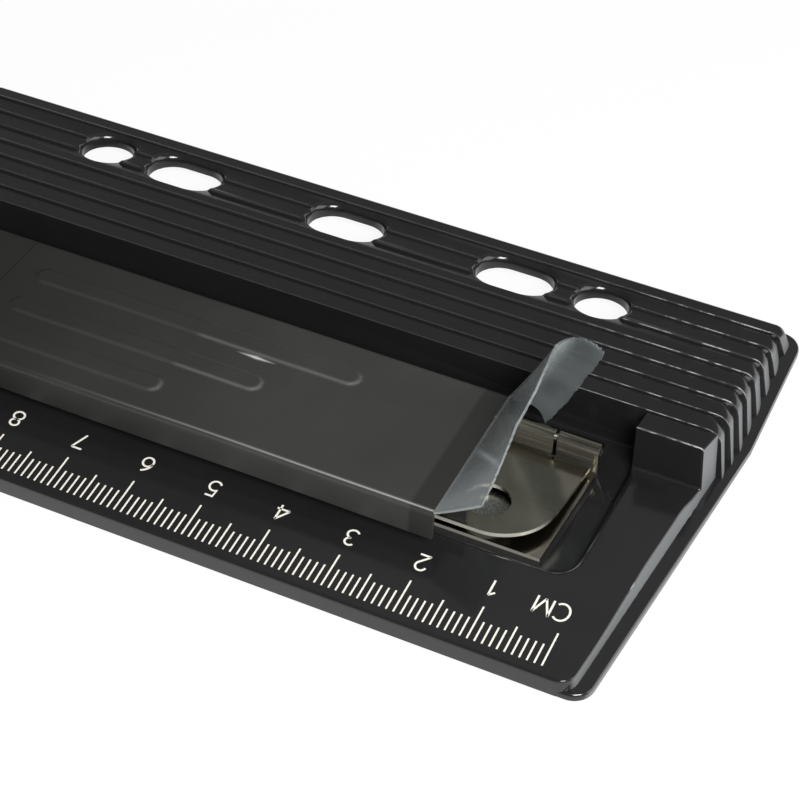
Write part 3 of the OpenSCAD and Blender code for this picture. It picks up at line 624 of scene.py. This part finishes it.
# Small steel: the punches, rivets and hinge pin are turned or headed from plain bright steel, and the
# two return springs are wound from hard wire, each with one leg under the die plate. Marks about half a
# millimetre across make the gloss uneven.
steel, tree, out = new_material("bright_steel")
place = add(tree, "ShaderNodeTexCoord")
turned = add(tree, "ShaderNodeTexNoise", [(place.outputs["Object"], "Vector")],
             Scale=1 / (0.5556 * MM), Detail=3.0)
tone = add(tree, "ShaderNodeMix", [(turned.outputs["Fac"], "Factor")], data_type="RGBA",
           _6=linear("#8d8d8a"), _7=linear("#b0b0ac"))
gloss = add(tree, "ShaderNodeMapRange", [(turned.outputs["Fac"], "Value")], To_Min=0.18, To_Max=0.36)
shader = add(tree, "ShaderNodeBsdfPrincipled",
             [(tone.outputs[2], "Base Color"), (gloss.outputs["Result"], "Roughness")], Metallic=1.0)
tree.links.new(shader.outputs["BSDF"], out.inputs["Surface"])
for name in ("plate_rivets", "left_punch", "right_punch", "hinge_pin"):
    softened(name, "base", steel, 0.08)
for name in ("left_return_spring", "right_return_spring"):
    spring = softened(name, None, steel, 0)
    spring.data.set_sharp_from_angle(angle=np.pi)
    wire = spring.modifiers.new("wire", "SUBSURF")
    wire.levels = wire.render_levels = 2
    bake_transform(spring)

# Chip cover: a channel bent from smoky plastic sheet that catches the chips, standing on the die
# plate by two legs. Three grip ridges are pressed up out of its top, and its edges are bent round.
COVER_HALF, COVER_FRONT, COVER_REAR, COVER_TOP = 36.4, -23.25, 1.85, 8.2
COVER_ACROSS, COVER_ALONG = 110, 260
SKIRT_LOW, REAR_LOW, SHEET, BEND = 3.4, 2.0, 0.6, 0.75
DIE_TOP, LEG_FRONT, LEG_REAR, LEG_RUN = 3.3, -18.55, -2.65, 2.7
LEG_SUNK, LEG_RUN_SUNK = 0.4, 0.95
RIDGE_Y = HINGE_Y - np.array([4.7, 11.6, 17.8])
RIDGE_LEFT, RIDGE_RIGHT = -31.0, np.array([16.0, 4.7, -7.1])
RIDGE_HALF, RIDGE_RISE, RIDGE_SLOPE = 1.7, 0.32, 0.5
GLINT_X, GLINT_Y, GLINT_HALF, GLINT_SLANT = 2.9, -6.9, 3.2, 0.02
OPEN = np.radians(5)


def lifted(points):
    """Points of the pressed-down bar, turned about the hinge axis to the angle at which the springs hold
    it."""
    y, z = points[..., 1] - HINGE_Y, points[..., 2] - HINGE_Z
    return np.stack([points[..., 0], HINGE_Y + y * np.cos(OPEN) + z * np.sin(OPEN),
                     HINGE_Z - y * np.sin(OPEN) + z * np.cos(OPEN)], -1)


def channel(inset):
    """The sheet's outline from the front skirt over the top to the rear wall, at an inset from its outer
    face: straight walls, an arc over each top edge and evenly spaced points across the top."""
    r, t = BEND - inset, quarter_turn(9)
    front, rear, top = COVER_FRONT + BEND, COVER_REAR - BEND, COVER_TOP - BEND
    return np.concatenate([
        np.stack([np.full(8, front - r), np.linspace(SKIRT_LOW, top, 8, endpoint=False)], -1),
        np.stack([front - r * np.cos(t), top + r * np.sin(t)], -1),
        np.stack([np.linspace(front, rear, COVER_ACROSS)[1:-1], np.full(COVER_ACROSS - 2, top + r)], -1),
        np.stack([rear + r * np.sin(t), top + r * np.cos(t)], -1),
        np.stack([np.full(8, rear + r), np.linspace(top, REAR_LOW, 9)[1:]], -1)])


def ridge_reach(x, y):
    """Distance from the nearest grip ridge's middle line, which is a straight piece with round ends."""
    along = x[..., None] - np.clip(x[..., None], RIDGE_LEFT, RIDGE_RIGHT)
    return np.sqrt(along**2 + (y[..., None] - RIDGE_Y) ** 2).min(-1)


def bell(distance, width):
    """1 at no distance, falling as e to the minus square of the distance over the width."""
    return np.exp(-(distance / width) ** 2)


outer, inner = channel(0), channel(SHEET)
ring = np.concatenate([outer, inner[::-1]])
x = np.linspace(-COVER_HALF, COVER_HALF, COVER_ALONG)[:, None] + 0 * ring[None, :, 0]
y, z = ring[None, :, 0] + 0 * x, ring[None, :, 1] + 0 * x
on_top = eased((z - COVER_TOP + 1.0) / 0.4)
rise = RIDGE_RISE * eased((RIDGE_HALF - ridge_reach(x, y)) / RIDGE_SLOPE)
wave = 0.05 * np.sin(x / 11 + 0.4) * np.sin(y / 6) + 0.03 * np.sin(x / 5.3 + y / 4)
bowed = 0.05 * np.sin(x / 8) * eased((COVER_TOP - 1 - z) / 3)
sheet_points = np.stack([x, y + bowed, z + on_top * (rise + wave)], -1)
solids = [(sheet_points.reshape(-1, 3), tube_faces(*x.shape))]
for leg_y, end, sunk in ((LEG_FRONT, COVER_HALF, LEG_SUNK), (LEG_FRONT, COVER_HALF + LEG_RUN, LEG_RUN_SUNK),
                         (LEG_REAR, COVER_HALF, LEG_SUNK)):
    near, far, high = leg_y, leg_y + SHEET, COVER_TOP - sunk
    solids.append(prism(np.array([[near, DIE_TOP], [far, DIE_TOP], [far, high], [near, high]]), end))
points, faces = joined(solids)
cover = shown("chip_cover_sheet", mesh_of("chip_cover_sheet", lifted(points), faces))
# Painted highlights on the outer face: a thin line along the top front bend that grows to the right, the grip
# ridges' shoulders, brightest at their right ends, and a short glint across the top
front_highlight = bell(z - COVER_TOP + 0.12, 0.05) * (y < COVER_FRONT + BEND) * eased((x + 25) / 60)
shoulder = bell(ridge_reach(x, y) - RIDGE_HALF + 0.25, 0.16) * on_top
shoulder *= 0.15 + 0.85 * eased((x[..., None] - RIDGE_RIGHT - 0.2) / 1.5).max(-1)
glint = np.clip(1 - np.abs(x - GLINT_X) / GLINT_HALF, 0, 1)
across_glint = y - GLINT_Y + GLINT_SLANT * (x - GLINT_X)
glint = glint * bell(across_glint, 0.05 + 0.16 * glint) * on_top
painted_highlight = np.clip(0.5 * front_highlight + 0.09 * shoulder + 1.2 * glint, 0, 1)
painted_highlight = np.where(np.arange(len(ring)) < len(outer), painted_highlight, 0).ravel()
marked(cover, "painted_highlight", np.concatenate([painted_highlight, np.zeros(len(points) - len(painted_highlight))]))
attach(cover, "press_bar")
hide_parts("chip_cover")

# Smoky PVC sheet: dark grey, satin from handling with hair scratches under 1 mm, and cloudy over some
# 12 mm. It is darker to the left and in a strip by the right crease. A painted highlight makes the top front
# bend, the grip ridges' shoulders and a short glint across the top paler.
smoky, tree, out = new_material("smoky_pvc_sheet")
place = add(tree, "ShaderNodeTexCoord")
cloud = add(tree, "ShaderNodeTexNoise", [(place.outputs["Object"], "Vector")],
            Scale=1 / (12.5 * MM), Detail=3.0)
tone = add(tree, "ShaderNodeMix", [(cloud.outputs["Fac"], "Factor")], data_type="RGBA",
           _6=linear("#2b2b2a"), _7=linear("#393937"))
across = add(tree, "ShaderNodeSeparateXYZ", [(place.outputs["Object"], 0)])
# A darker strip by the right crease
crease_strip = add(tree, "ShaderNodeMapRange", [(across.outputs["X"], "Value")],
           From_Min=32.9 * MM, From_Max=33.4 * MM, To_Max=0.75)
tone = add(tree, "ShaderNodeMix", [(crease_strip.outputs[0], "Factor"), (tone.outputs[2], 6)], data_type="RGBA",
           _7=linear("#212120"))
away = add(tree, "ShaderNodeMapRange", [(across.outputs["X"], "Value")],
           From_Min=-36 * MM, From_Max=10 * MM, To_Min=0.75, To_Max=0.0)
tone = add(tree, "ShaderNodeMix", [(away.outputs[0], "Factor"), (tone.outputs[2], 6)], data_type="RGBA",
           _7=linear("#171716"))
painted_highlight = add(tree, "ShaderNodeAttribute", attribute_name="painted_highlight")
tone = add(tree, "ShaderNodeMix", [(painted_highlight.outputs["Fac"], "Factor"), (tone.outputs[2], 6)], data_type="RGBA",
           _7=linear("#c4c5c2"))
gloss = add(tree, "ShaderNodeMapRange", [(cloud.outputs["Fac"], "Value")], To_Min=0.3, To_Max=0.46)
hairs = add(tree, "ShaderNodeTexNoise", [(place.outputs["Object"], "Vector")],
            Scale=1 / (0.6667 * MM), Detail=3.0)
relief = add(tree, "ShaderNodeBump", [(hairs.outputs["Fac"], "Height")], Strength=0.08, Distance=0.05 * MM)
shader = add(tree, "ShaderNodeBsdfPrincipled",
             [(tone.outputs[2], "Base Color"), (gloss.outputs["Result"], "Roughness"),
              (relief.outputs["Normal"], "Normal")], IOR=1.53)
tree.links.new(shader.outputs["BSDF"], out.inputs["Surface"])
cover.data.materials.append(smoky)

# End flaps: the ends of the cover sheet with its rear wall, slit from the front skirt so that they bend
# up at a crease. The left one lies closed. The right one is cloudy with age and stands up with a twist,
# least at its front, and its cut edges are rough.
FLAP_SHEET, FLAP_LIFT, FLAP_CURL = 0.35, np.radians(60), np.radians(3)
TWIST_START, TWIST_END = -47.35, 0.85
FLAP_Y = np.array([COVER_FRONT, -11.5, -7.0, -3.0, TWIST_END])
FLAP_LENGTH = np.array([7.5, 9.6, 12.4, 13.4, 12.9])
FLAP_WALL, WALL_BOW, WALL_BOW_FROM, WALL_BOW_RUN = 6.2, 1.5, 1.0, 5.6
FLAP_ROWS, WALL_ROWS, FLAP_COLUMNS = 60, 21, 40
NOSE, NOSE_R, NOSE_LOW_R = 16.75, 4.8, 1.0
SLIT_RAISED, SLIT_CLOSED = 0.02, 0.1
KINK_Y, KINK_SLANT, KINK_WIDTH, CUT_WIDTH = -10.2, 0.85, 0.45, 0.18
ROUGH_CLOSED, ROUGH_RAISED = 0.05, 0.14


def flap_lines(inset):
    """The sheet's outline from the front over the rear bend and down the rear wall, at an inset from its
    outer face, as (y, z), and the depth of each point under the top."""
    r, t = BEND - inset, quarter_turn(9)
    rear, top = COVER_REAR - BEND, COVER_TOP - BEND
    fall = np.linspace(BEND, FLAP_WALL, WALL_ROWS + 1)[1:]
    flat = np.linspace(COVER_FRONT, rear, FLAP_ROWS, endpoint=False)
    line = np.concatenate([
        np.stack([flat, np.full(FLAP_ROWS, top + r)], -1),
        np.stack([rear + r * np.sin(t), top + r * np.cos(t)], -1),
        np.stack([np.full(WALL_ROWS, rear + r), COVER_TOP - fall], -1)])
    return line, np.concatenate([np.zeros(FLAP_ROWS), BEND * (1 - np.cos(t)), fall])


def flap_sheet(lift, roughness):
    """A flap as two grids, outer and inner face, closed round the rim: rows follow the outline, columns run
    from the crease to the free edge. Each row is turned about the crease by its share of the lift. The top is
    cut back to the front, the rear wall ends in a rounded nose, and its lower edge is ragged."""
    outside, depth = flap_lines(0)
    inside, _ = flap_lines(FLAP_SHEET)
    nose = NOSE - rounding(depth, NOSE_R) - rounding(FLAP_WALL - depth, NOSE_LOW_R)
    length = np.where(depth > 0, np.maximum(nose, FLAP_LENGTH[-1]),
                      np.interp(outside[:, 0], FLAP_Y, FLAP_LENGTH))
    row = np.arange(len(outside))
    length = length + roughness * (np.sin(row * 2.1) + np.sin(row * 3.7 + 1)) * (0.3 + 0.1 * depth)
    slit = SLIT_RAISED if lift > 0 else SLIT_CLOSED
    start = slit + WALL_BOW * np.sin(np.pi * np.clip((depth - WALL_BOW_FROM) / WALL_BOW_RUN, 0, 1))
    share = np.linspace(0, 1, FLAP_COLUMNS)[None]
    s = start[:, None] + (length - start)[:, None] * share
    torn = 1 + np.sin(share * 21) * np.sin(share * 47)
    ragged = 0.06 * eased((share - 0.3) / 0.5) + roughness * 0.12 * torn
    rise = ragged * depth[:, None] * (depth[:, None] > BEND)
    turn = lift * eased((outside[:, :1] - TWIST_START) / (TWIST_END - TWIST_START))
    curl = turn + FLAP_CURL * share * (lift > 0)
    grids = []
    for line in (outside, inside):
        low = line[:, 1:] - COVER_TOP + rise
        grids.append(np.stack([COVER_HALF + s * np.cos(curl) - low * np.sin(turn), line[:, :1] + 0 * s,
                               COVER_TOP + s * np.sin(curl) + low * np.cos(turn)], -1))
    n, m = s.shape
    points = np.concatenate([g.reshape(-1, 3) for g in grids])
    i = np.arange(n * m).reshape(n, m)
    skin = np.stack([i[:-1, :-1], i[:-1, 1:], i[1:, 1:], i[1:, :-1]], -1).reshape(-1, 4)
    rim = np.concatenate([i[0, :], i[1:, -1], i[-1, -2::-1], i[-2:0:-1, 0]])
    edge = np.stack([rim, np.roll(rim, -1), np.roll(rim, -1) + n * m, rim + n * m], -1)
    faces = np.concatenate([skin[:, ::-1], skin + n * m, edge])
    near_edge = bell(length[:, None] - s, CUT_WIDTH)
    kink = bell(outside[:, :1] - KINK_Y + KINK_SLANT * s, KINK_WIDTH) * np.sin(np.pi * share) ** 0.5
    # Painted light: the top is whiter than the rear wall, fading out over the bend
    painted_light_on_top = 0.42 * (1 - eased(depth[:, None] / 2.5))
    white = np.clip(painted_light_on_top * (1 - 0.8 * near_edge) + 0.12 * near_edge + 0.6 * kink, 0, 1).ravel()
    return points, faces, np.concatenate([white, white])


# Clear PVC film, cloudy: cool grey, glossy with faint creasing some 4 mm apart, whiter where it has been
# kinked, and clearer along the top's cut edge. A painted light makes its top whiter than its rear wall.
clear, tree, out = new_material("clear_pvc_sheet")
place = add(tree, "ShaderNodeTexCoord")
haze = add(tree, "ShaderNodeTexNoise", [(place.outputs["Object"], "Vector")],
           Scale=1 / (3.846 * MM), Detail=1.0)
tone = add(tree, "ShaderNodeMix", [(haze.outputs["Fac"], "Factor")], data_type="RGBA",
           _6=linear("#4c5253"), _7=linear("#636869"))
white = add(tree, "ShaderNodeAttribute", attribute_name="whitened_and_lit")
tone = add(tree, "ShaderNodeMix", [(white.outputs["Fac"], "Factor"), (tone.outputs[2], 6)], data_type="RGBA",
           _7=linear("#c3c9c9"))
body = add(tree, "ShaderNodeMapRange", [(haze.outputs["Fac"], "Value")], From_Min=0.3, From_Max=0.7,
           To_Min=0.5, To_Max=0.68)
body = add(tree, "ShaderNodeMix", [(white.outputs["Fac"], "Factor"), (body.outputs[0], 2)], _3=0.75)
gloss = add(tree, "ShaderNodeMapRange", [(haze.outputs["Fac"], "Value")], To_Min=0.18, To_Max=0.34)
relief = add(tree, "ShaderNodeBump", [(haze.outputs["Fac"], "Height")], Strength=0.1, Distance=0.2 * MM)
shader = add(tree, "ShaderNodeBsdfPrincipled",
             [(tone.outputs[2], "Base Color"), (body.outputs[0], "Alpha"),
              (gloss.outputs["Result"], "Roughness"), (relief.outputs["Normal"], "Normal")], IOR=1.53)
tree.links.new(shader.outputs["BSDF"], out.inputs["Surface"])
for name, side, lift, rough in (("left", -1, 0.0, ROUGH_CLOSED), ("right", 1, FLAP_LIFT, ROUGH_RAISED)):
    points, faces, whitened_and_lit = flap_sheet(lift, rough)
    points = lifted(points) * [side, 1, 1]
    flap = shown(name + "_flap_film", mesh_of(name + "_flap_film", points, faces[:, ::side]))
    marked(flap, "whitened_and_lit", whitened_and_lit)
    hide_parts(name + "_flap")
    if lift:
        ends = np.array([[COVER_HALF, TWIST_START, COVER_TOP], [COVER_HALF, TWIST_END, COVER_TOP]])
        ends = lifted(ends) * MM
        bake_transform(flap)
    else:
        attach(flap, "left_end_flap")
    flap.data.materials.append(clear if lift else smoky)

# Studio: a white sweep that stays white in the picture and in reflections, with a painted shade under the
# part where reflections lose its glow, a soft lamp from the right front, a low one from the right, and a dim
# panel behind for the gloss to mirror.
SWEEP_HALF, SWEEP_Z = 3000.0, -0.05
corners = SWEEP_HALF * np.array([[-1, -1], [1, -1], [1, 1], [-1, 1]])
floor = shown("floor", mesh_of("floor", np.insert(corners, 2, SWEEP_Z, axis=1), [[0, 1, 2, 3]]))
paper, tree, out = new_material("white_paper_sweep")
ray = add(tree, "ShaderNodeLightPath")
place = add(tree, "ShaderNodeTexCoord")
across = add(tree, "ShaderNodeSeparateXYZ", [(place.outputs["Object"], 0)])
# Painted shade under the part: reflections of the sweep lose its glow over the part's footprint, camera rays
# keep it
sideways = add(tree, "ShaderNodeMath", [(across.outputs["X"], 0)], operation="ABSOLUTE")
endways = add(tree, "ShaderNodeMath", [(across.outputs["Y"], 0)], operation="ABSOLUTE")
sideways = add(tree, "ShaderNodeMapRange", [(sideways.outputs[0], "Value")],
               From_Min=62 * MM, From_Max=67 * MM)
endways = add(tree, "ShaderNodeMapRange", [(endways.outputs[0], "Value")],
              From_Min=31 * MM, From_Max=36 * MM)
clear_of = add(tree, "ShaderNodeMath", [(sideways.outputs[0], 0), (endways.outputs[0], 1)],
               operation="MAXIMUM")
clear_of = add(tree, "ShaderNodeMath", [(ray.outputs["Is Camera Ray"], 0), (clear_of.outputs[0], 1)],
               operation="MAXIMUM")
open_floor = add(tree, "ShaderNodeMapRange", [(clear_of.outputs[0], "Value")], To_Max=0.9)
seen = add(tree, "ShaderNodeMath", [(ray.outputs["Is Camera Ray"], 0), (ray.outputs["Is Glossy Ray"], 1)],
           operation="MAXIMUM")
seen = add(tree, "ShaderNodeMath", [(seen.outputs[0], 0), (ray.outputs["Is Transmission Ray"], 1)],
           operation="MAXIMUM")
part = add(tree, "ShaderNodeMath", [(seen.outputs[0], 0), (open_floor.outputs[0], 1)], operation="MULTIPLY")
matt = add(tree, "ShaderNodeBsdfDiffuse", Color=(0.8, 0.8, 0.8, 1))
glow = add(tree, "ShaderNodeEmission", Color=(1, 1, 1, 1), Strength=1.0)
both = add(tree, "ShaderNodeMixShader", [(part.outputs[0], 0), (matt.outputs[0], 1), (glow.outputs[0], 2)])
tree.links.new(both.outputs[0], out.inputs["Surface"])
floor.data.materials.append(paper)

# World: white where the camera sees it, also through the film, and dim room light on everything else
world = bpy.data.worlds.new("studio")
bpy.context.scene.world = world
world.use_nodes = True
tree = world.node_tree
tree.nodes.clear()
out = tree.nodes.new("ShaderNodeOutputWorld")
ray = add(tree, "ShaderNodeLightPath")
seen = add(tree, "ShaderNodeMath",
           [(ray.outputs["Is Camera Ray"], 0), (ray.outputs["Is Transmission Ray"], 1)],
           operation="MAXIMUM")
white = add(tree, "ShaderNodeBackground", Color=(1, 1, 1, 1), Strength=1.0)
room = add(tree, "ShaderNodeBackground", Color=(1, 1, 1, 1), Strength=0.13)
both = add(tree, "ShaderNodeMixShader", [(seen.outputs[0], 0), (room.outputs[0], 1), (white.outputs[0], 2)])
tree.links.new(both.outputs[0], out.inputs["Surface"])


def soft_lamp(name, place, aim, size, watts):
    """A square area lamp, all in metres, turned so that it faces its aim."""
    data = bpy.data.lights.new(name, "AREA")
    data.size, data.energy = size, watts
    lamp = bpy.data.objects.new(name, data)
    lamp.location = place
    lamp.rotation_euler = (Vector(aim) - Vector(place)).to_track_quat("-Z", "Y").to_euler()
    bpy.context.scene.collection.objects.link(lamp)


soft_lamp("front_right", (0.35, -0.35, 0.5), (0, 0, 0), 0.3, 7)
soft_lamp("low_right", (0.6, 0.12, 0.25), (0.05, 0, 0), 0.5, 2.2)
soft_lamp("rear_panel", (0.05, 0.35, 0.45), (0.03, 0, 0), 0.45, 0.1)

# Camera: above and to the right of the front, placed so that the printed ticks fall as in the photograph
CAMERA_AIM, CAMERA_AWAY, CAMERA_LENS = np.array([21.59, -0.78, 3.1]), 301.99, 99.98
azimuth, elevation = np.radians([24.82, 46.23])
camera = bpy.data.objects.new("camera", bpy.data.cameras.new("camera"))
bpy.context.scene.collection.objects.link(camera)
camera.data.sensor_fit, camera.data.sensor_width, camera.data.lens = "HORIZONTAL", 36, CAMERA_LENS
camera.data.clip_start = 10 * MM
level = np.cos(elevation)
back = np.array([np.sin(azimuth) * level, -np.cos(azimuth) * level, np.sin(elevation)])
camera.location = (CAMERA_AIM + CAMERA_AWAY * back) * MM
camera.rotation_euler = (np.pi / 2 - elevation, 0, azimuth)
bpy.context.scene.camera = camera
bpy.context.scene.view_settings.view_transform = "Standard"
